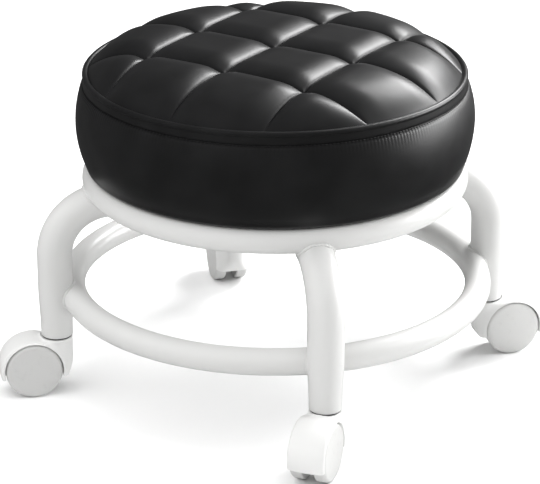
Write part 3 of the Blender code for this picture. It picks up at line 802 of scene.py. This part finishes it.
class Finish:
    """A material with its nodes, whose patterns follow the object's own coordinates."""

    def __init__(self, name, **uniform):
        self.material = bpy.data.materials.new(name)
        self.material.use_nodes = True
        self.tree = self.material.node_tree
        self.shader = self.tree.nodes["Principled BSDF"]
        self.place = self.tree.nodes.new("ShaderNodeTexCoord").outputs["Object"]
        for socket, value in uniform.items():
            name = socket.replace("_", " ")
            self.shader.inputs[name].default_value = (*value, 1.0) if isinstance(value, tuple) else value
        self.bumped = None

    def node(self, kind, inputs=(), **settings):
        made = self.tree.nodes.new(kind)
        for key, value in settings.items():
            setattr(made, key, value)
        for socket, value in dict(inputs).items():
            self.set(made.inputs[socket], value)
        return made

    def set(self, socket, value):
        if isinstance(value, bpy.types.NodeSocket):
            self.tree.links.new(value, socket)
        else:
            socket.default_value = value

    def stretched(self, scale):
        return self.node("ShaderNodeMapping", {"Vector": self.place, "Scale": scale}).outputs[0]

    def noise(self, scale, detail=2.0, where=None, rough=0.5):
        inputs = {"Vector": where or self.place, "Scale": scale, "Detail": detail, "Roughness": rough}
        return self.node("ShaderNodeTexNoise", inputs).outputs["Fac"]

    def cells(self, scale, where=None, feature="F1"):
        inputs = {"Vector": where or self.place, "Scale": scale}
        return self.node("ShaderNodeTexVoronoi", inputs, feature=feature).outputs["Distance"]

    def ranged(self, value, low, high, to_low, to_high):
        inputs = {"Value": value, "From Min": low, "From Max": high, "To Min": to_low, "To Max": to_high}
        return self.node("ShaderNodeMapRange", inputs).outputs["Result"]

    def mixed(self, share, first, second):
        made = self.node("ShaderNodeMix", data_type="RGBA")
        self.set(made.inputs["Factor"], share)
        self.set(made.inputs[6], (*first, 1.0) if isinstance(first, tuple) else first)
        self.set(made.inputs[7], (*second, 1.0) if isinstance(second, tuple) else second)
        return made.outputs[2]

    def bump(self, height, distance, strength=1.0):
        inputs = {"Height": height, "Distance": distance, "Strength": strength}
        if self.bumped:
            inputs["Normal"] = self.bumped
        self.bumped = self.node("ShaderNodeBump", inputs).outputs["Normal"]
        self.set(self.shader.inputs["Normal"], self.bumped)

    def colour(self, value):
        self.set(self.shader.inputs["Base Color"], value)

    def roughness(self, value):
        self.set(self.shader.inputs["Roughness"], value)


def scaled(tone, factor):
    return tuple(min(1.0, channel * factor) for channel in tone)


def black_vinyl():
    """Vinyl with a fine pebbled grain, soft sheen and a slightly uneven gloss."""
    tone = tuple(colours().vinyl)
    f = Finish("pebbled_vinyl", Specular_IOR_Level=0.42)
    patches = f.noise(28, 3)
    grain = f.cells(1500)
    wrinkle = f.noise(420, 4, rough=0.6)
    f.colour(f.mixed(f.ranged(patches, 0.35, 0.65, 0, 1), scaled(tone, 0.85), scaled(tone, 1.25)))
    f.roughness(f.ranged(f.noise(60, 3), 0.3, 0.7, 0.37, 0.41))
    f.bump(wrinkle, 0.00004, 0.3)
    f.bump(grain, 0.00002, 0.3)
    return f.material


def black_thread():
    """Twisted thread, with a fine grain and an uneven tone along each stitch."""
    f = Finish("black_thread", Roughness=0.55, Specular_IOR_Level=0.4)
    tone = scaled(tuple(colours().vinyl), 1.6)
    f.colour(f.mixed(f.noise(3000, 1), scaled(tone, 0.8), tone))
    f.bump(f.noise(5200, 2), 0.0001, 0.6)
    return f.material


def powder_coat():
    """Gloss powder coat with a faint orange peel and a slightly uneven tone."""
    tone = tuple(colours().powder_coat)
    f = Finish("white_powder_coat", Coat_Weight=0.1, Coat_Roughness=0.2)
    f.colour(f.mixed(f.noise(14, 3), scaled(tone, 0.985), scaled(tone, 1.01)))
    f.roughness(f.ranged(f.noise(45, 2), 0.3, 0.7, 0.30, 0.36))
    f.bump(f.noise(420, 2), 0.00003, 0.12)
    return f.material


def hood_plastic():
    """Moulded plastic with a fine matt texture."""
    tone = tuple(colours().hood_plastic)
    f = Finish("white_hood_plastic")
    f.colour(f.mixed(f.noise(30, 2), scaled(tone, 0.985), scaled(tone, 1.01)))
    f.roughness(f.ranged(f.noise(90, 3), 0.3, 0.7, 0.34, 0.42))
    f.bump(f.noise(2600, 2), 0.00003, 0.3)
    return f.material


def wheel_plastic():
    """Harder plastic, greyer than the hood, with a fine grain and faint scuffs."""
    tone = tuple(colours().wheel_plastic)
    f = Finish("grey_wheel_plastic")
    scuffs = f.noise(180, 5, rough=0.7)
    f.colour(f.mixed(f.ranged(scuffs, 0.55, 0.8, 0, 1), tone, scaled(tone, 0.9)))
    f.roughness(f.ranged(scuffs, 0.3, 0.7, 0.38, 0.5))
    f.bump(f.noise(1800, 3), 0.00004, 0.35)
    return f.material


def black_plastic():
    """Moulded plastic with a coarser matt texture."""
    f = Finish("black_plug_plastic")
    f.colour(f.mixed(f.noise(200, 2), (0.012, 0.012, 0.012), (0.02, 0.02, 0.02)))
    f.roughness(f.ranged(f.noise(300, 2), 0.3, 0.7, 0.45, 0.6))
    f.bump(f.noise(2400, 2), 0.00004, 0.4)
    return f.material


def zinc_plate():
    """Bright zinc with short brushed streaks and clouding."""
    f = Finish("bright_zinc", Metallic=1.0)
    clouds = f.noise(160, 4)
    f.colour(f.mixed(clouds, (0.52, 0.53, 0.56), (0.70, 0.71, 0.73)))
    f.roughness(f.ranged(f.noise(900, 3, f.stretched((1, 1, 0.08))), 0.3, 0.7, 0.22, 0.4))
    f.bump(f.noise(1600, 2, f.stretched((1, 1, 0.1))), 0.00003, 0.4)
    return f.material


def bare_plywood():
    """Birch plywood: long grain on its faces, with the plies as thin layers on its edge."""
    f = Finish("bare_plywood", Roughness=0.72)
    grain = f.noise(90, 5, f.stretched((1.0, 0.07, 1.0)), 0.65)
    layers = {"Vector": f.place, "Scale": 130.0, "Distortion": 0.4}
    plies = f.node("ShaderNodeTexWave", layers, bands_direction="Z")
    streaked = f.mixed(f.ranged(grain, 0.3, 0.75, 0, 1), (0.60, 0.44, 0.27), (0.44, 0.29, 0.16))
    f.colour(f.mixed(f.ranged(plies.outputs["Fac"], 0.3, 0.7, 0, 0.35), streaked, (0.36, 0.23, 0.12)))
    f.bump(grain, 0.0002, 0.4)
    return f.material


def seat_foam():
    """Open-cell foam: small rounded pores."""
    f = Finish("seat_foam", Roughness=0.95)
    pores = f.cells(900)
    f.colour(f.mixed(f.ranged(pores, 0.0, 0.6, 0, 1), (0.70, 0.62, 0.42), (0.86, 0.80, 0.60)))
    f.bump(pores, 0.0006, 0.8)
    return f.material


def dust_cloth():
    """Thin non-woven cloth: felted fibres with a faint bonded grid."""
    f = Finish("felted_dust_cloth", Roughness=0.95, Sheen_Weight=0.3)
    fibres = f.noise(1400, 6, rough=0.8)
    f.colour(f.mixed(fibres, (0.008, 0.008, 0.008), (0.04, 0.04, 0.04)))
    f.bump(fibres, 0.0003, 0.7)
    f.bump(f.cells(550), 0.0002, 0.5)
    return f.material


def floor_paint():
    """Seamless pale studio floor with a barely visible mottle."""
    tone = tuple(colours().floor)
    f = Finish("studio_floor")
    f.colour(f.mixed(f.noise(6, 3), scaled(tone, 0.995), scaled(tone, 1.005)))
    f.roughness(f.ranged(f.noise(20, 2), 0.3, 0.7, 0.6, 0.7))
    return f.material


FINISHES = {
    "black_vinyl": black_vinyl,
    "white_paint": powder_coat,
    "white_plastic": hood_plastic,
    "wheel_plastic": wheel_plastic,
    "black_plastic": black_plastic,
    "plywood": bare_plywood,
    "foam": seat_foam,
    "dust_cloth": dust_cloth,
    "zinc_steel": zinc_plate,
}
made_finishes = {}


def finish(slot):
    """The finish of one of the record's slots, made the first time that it is asked for."""
    if slot not in made_finishes:
        made_finishes[slot] = FINISHES[slot]()
    return made_finishes[slot]


# Operators


class STOOL_OT_quilted_top(bpy.types.Operator):
    """Builds the quilted top: square pillows between crossing seams"""

    bl_idname = "stool.quilted_top"
    bl_label = "Quilted top"

    def execute(self, context):
        patches = [(patch, False, False) for patch in quilt_top(PATCH_COUNT)]
        patches.append((quilt_underside(PATCH_COUNT), False, True))
        top = piece("quilted_seat_top", patches, finish("black_vinyl"), sharp=radians(75))
        place(top, "stool", "black_vinyl", "quilted_top")
        return {"FINISHED"}


class STOOL_OT_side_band(bpy.types.Operator):
    """Builds the side band, the welt and the row of stitches under it"""

    bl_idname = "stool.side_band"
    bl_label = "Side band and welt"

    def execute(self, context):
        vinyl = finish("black_vinyl")
        band = piece("seat_side_band", [(band_surface(), True, True)], vinyl)
        place(band, "stool", "black_vinyl", "side_band")
        welt = piece("seat_welt", [(welt_surface(), True, True)], vinyl)
        place(welt, "stool", "black_vinyl", "welt")
        threads = [(thread, False, True) for thread in stitch_surfaces()]
        stitches = piece("seat_stitches", threads, black_thread())
        place(stitches, "stool", "black_vinyl")
        return {"FINISHED"}


class STOOL_OT_tube_frame(bpy.types.Operator):
    """Builds the two rings, the four legs and the weld beads"""

    bl_idname = "stool.tube_frame"
    bl_label = "Tube frame"

    def execute(self, context):
        t = tubes()
        paint = finish("white_paint")
        upper = t.upper_ring_radius, t.upper_ring_height
        lower = t.lower_ring_radius, t.lower_ring_height
        for name, (radius, height) in (("upper_ring", upper), ("lower_ring", lower)):
            ring = piece(f"{name}_tube", [(ring_surface(radius, height), True, True)], paint)
            place(ring, "stool", "white_paint", name)
        leg = leg_surface()
        welds = weld_surface(*upper, UPPER_WELD_SPAN), weld_surface(*lower, LOWER_WELD_SPAN)
        for side, azimuth in zip(SIDES, LEG_AZIMUTHS):
            tube = piece(f"leg_{side}_tube", [(spun(leg, azimuth), False, True)], paint)
            place(tube, "stool", "white_paint", f"leg_{side}")
            beads = [(spun(bead, azimuth), False, True) for bead in welds]
            place(piece(f"leg_{side}_welds", beads, paint), "stool", "white_paint")
        return {"FINISHED"}


class STOOL_OT_casters(bpy.types.Operator):
    """Builds the four casters: plug, hood, web and two wheels each"""

    bl_idname = "stool.casters"
    bl_label = "Casters"

    def execute(self, context):
        t = tubes()
        white = finish("white_plastic")
        grey = finish("wheel_plastic")
        black = finish("black_plastic")
        shell, web = hood_shell(), web_plate()
        flange = t.leg_foot_radius - PLUG_INSET
        plug_rows = [
            (PLUG_BORE, -PLUG_FLANGE),
            (flange - PLUG_CHAMFER, -PLUG_FLANGE),
            (flange, PLUG_CHAMFER - PLUG_FLANGE),
            (flange, 0.0),
            (PLUG_BORE, 0.0),
        ]
        for side, (swivel, roll, way) in caster_places().items():
            plug = turned(plug_rows, 48, swivel)
            plug_piece = piece(f"leg_{side}_plug", [(plug, True, True)], black)
            place(plug_piece, "stool", "black_plastic", f"leg_plug_{side}")
            sheets = [(spun(shell, way) + swivel, False, True), (spun(web, way) + swivel, False, True)]
            hood = piece(f"caster_{side}_hood", sheets, white)
            place(hood, f"caster_{side}", "white_plastic", f"caster_hood_{side}")
            for letter, sign in (("a", 1), ("b", -1)):
                wheel = spun(wheel_surface(sign), way) + roll
                name = f"caster_{side}_wheel_{letter}"
                made = piece(name, [(wheel, False, True)], grey, sharp=radians(40))
                place(made, f"wheel_{side}_{letter}", "wheel_plastic", f"caster_wheel_{side}_{letter}")
        return {"FINISHED"}


class STOOL_OT_carried_parts(bpy.types.Operator):
    """Gives the solids that show as they are, such as tabs, screws and stems, their finishes"""

    bl_idname = "stool.carried_parts"
    bl_label = "Finishes of the plain parts"

    def execute(self, context):
        slots = {row["node"]: row["material_slot"] for row in frame["record"]["subparts"]}
        for name, node in frame["nodes"].items():
            node.data.materials.clear()
            node.data.materials.append(finish(slots[name]))
        return {"FINISHED"}


def view_axes():
    """The camera's level right and forward directions."""
    turn = stage_settings().view_turn
    return Vector((cos(turn), -sin(turn), 0)), Vector((sin(turn), cos(turn), 0))


def add_softbox(name, right, forward, up, width, height, power, mirrored=True, target=(0, 0, 0.2)):
    """A rectangular light that stands off from the target, in the camera's directions, and faces it.

    A light that isn't mirrored lights the pieces without showing in their gloss.
    """
    side, ahead = view_axes()
    light = bpy.data.lights.new(name, "AREA")
    light.shape = "RECTANGLE"
    light.size, light.size_y = width, height
    light.energy = power
    lamp = bpy.data.objects.new(name, light)
    lamp.visible_glossy = mirrored
    lamp.location = Vector(target) + side * right + ahead * forward + Vector((0, 0, up))
    lamp.rotation_euler = (Vector(target) - lamp.location).to_track_quat("-Z", "Y").to_euler()
    bpy.context.scene.collection.objects.link(lamp)


class STOOL_OT_stage(bpy.types.Operator):
    """Lays the floor, hangs the lights and sets up the camera"""

    bl_idname = "stool.stage"
    bl_label = "Stage"

    def execute(self, context):
        s = stage_settings()
        span = np.linspace(-FLOOR_REACH, FLOOR_REACH, FLOOR_COUNT)
        x, y = np.meshgrid(span, span, indexing="ij")
        plane = np.stack([x, y, 0 * x], -1)[:, ::-1]
        floor = piece("studio_floor", [(plane, False, False)], floor_paint())
        floor.visible_glossy = False
        world = bpy.data.worlds.new("studio")
        world.use_nodes = True
        surroundings = world.node_tree.nodes["Background"].inputs
        surroundings["Color"].default_value = (1, 1, 1, 1)
        surroundings["Strength"].default_value = s.sky
        context.scene.world = world
        add_softbox(
            "key_softbox", right=0.96, forward=1.03, up=1.12, width=0.8, height=0.8, power=s.key_power,
        )
        add_softbox(
            "side_strip", right=1.65, forward=0.4, up=0.45, width=1.2, height=0.9, power=s.side_power,
        )
        add_softbox(
            "overhead_fill", right=-1.0, forward=-0.9, up=2.5, width=5.0, height=5.0, power=s.fill_power,
            mirrored=False,
        )
        side, ahead = view_axes()
        target = Vector((0, 0, s.view_height)) - side * s.view_side
        camera = bpy.data.objects.new("camera", bpy.data.cameras.new("camera"))
        away = -ahead * cos(s.view_rise) + Vector((0, 0, sin(s.view_rise)))
        eye = Vector((0, 0, s.view_height)) + away * s.view_distance
        camera.location = eye
        camera.rotation_euler = (target - eye).to_track_quat("-Z", "Y").to_euler()
        camera.data.lens = s.focal_length
        camera.data.sensor_width = SENSOR_WIDTH
        camera.data.clip_end = FAR_CLIP
        context.scene.collection.objects.link(camera)
        context.scene.camera = camera
        context.scene.view_settings.view_transform = "Standard"
        return {"FINISHED"}


class STOOL_PT_pieces(bpy.types.Panel):
    """Lists the stool's pieces and its stage"""

    bl_label = "Rolling stool"
    bl_idname = "STOOL_PT_pieces"
    bl_space_type = "VIEW_3D"
    bl_region_type = "UI"
    bl_category = "Stool"

    def draw(self, context):
        for operator in OPERATORS:
            self.layout.operator(operator.bl_idname)


GROUPS = {
    "stool_seat": StoolSeatSizes,
    "stool_frame": StoolFrameSizes,
    "stool_caster": StoolCasterSizes,
    "stool_colours": StoolColours,
    "stool_stage": StoolStage,
}
OPERATORS = (
    STOOL_OT_quilted_top,
    STOOL_OT_side_band,
    STOOL_OT_tube_frame,
    STOOL_OT_casters,
    STOOL_OT_carried_parts,
    STOOL_OT_stage,
)


def register():
    for group in GROUPS.values():
        bpy.utils.register_class(group)
    for name, group in GROUPS.items():
        setattr(bpy.types.Scene, name, bpy.props.PointerProperty(type=group))
    for operator in OPERATORS:
        bpy.utils.register_class(operator)
    bpy.utils.register_class(STOOL_PT_pieces)


def unregister():
    bpy.utils.unregister_class(STOOL_PT_pieces)
    for operator in reversed(OPERATORS):
        bpy.utils.unregister_class(operator)
    for name in GROUPS:
        delattr(bpy.types.Scene, name)
    for group in reversed(GROUPS.values()):
        bpy.utils.unregister_class(group)


def main():
    register()
    bpy.ops.stool.quilted_top()
    bpy.ops.stool.side_band()
    bpy.ops.stool.tube_frame()
    bpy.ops.stool.casters()
    bpy.ops.stool.carried_parts()
    bpy.ops.stool.stage()


if __name__ == "__main__":
    main()
